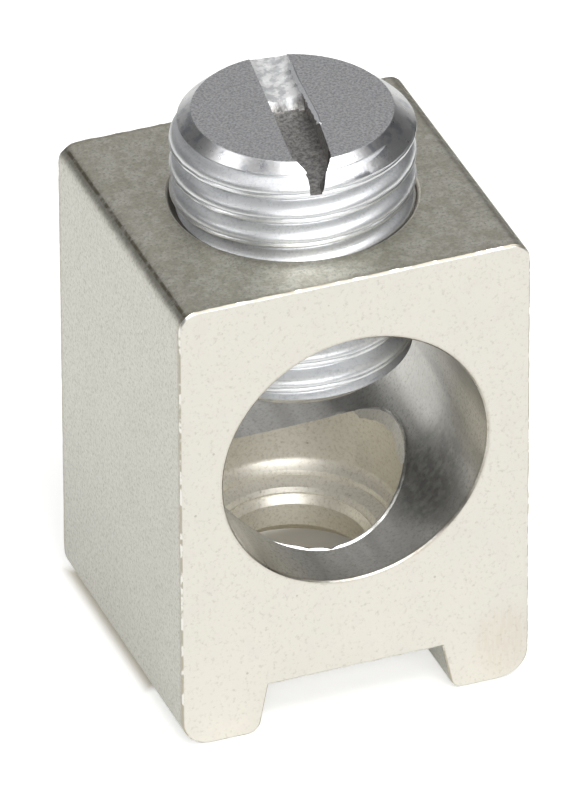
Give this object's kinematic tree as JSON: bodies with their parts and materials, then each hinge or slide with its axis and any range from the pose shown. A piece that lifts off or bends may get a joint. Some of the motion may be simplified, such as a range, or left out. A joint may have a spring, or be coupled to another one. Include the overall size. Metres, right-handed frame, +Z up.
{
  "type": "mechanical lug",
  "caption": "Mechanical lug: a tin-plated aluminium block with a cable bore right through, a slotted set screw from above, a recessed mounting hole and a groove beneath for the terminal.",
  "frame": {"origin": "middle of the underside, at the level that the two feet stand on", "axes": "+Z up along the set screw, +Y along the wire bore from the front face to the back face, +X across the front face"},
  "size_m": [0.0166, 0.0154, 0.0275],
  "materials": {
    "tinned_block": "satin, tin plated",
    "screw_metal": "turned, tin plated"
  },
  "bodies": {
    "block": {"lug_body": "tinned_block"},
    "screw": {"set_screw": "screw_metal"}
  },
  "joints": [
    {"name": "set_screw_travel", "type": "slide", "parent": "block", "child": "screw", "axis": [0, 0, 1], "range_m": [-0.00508, 0.00635]}
  ]
}
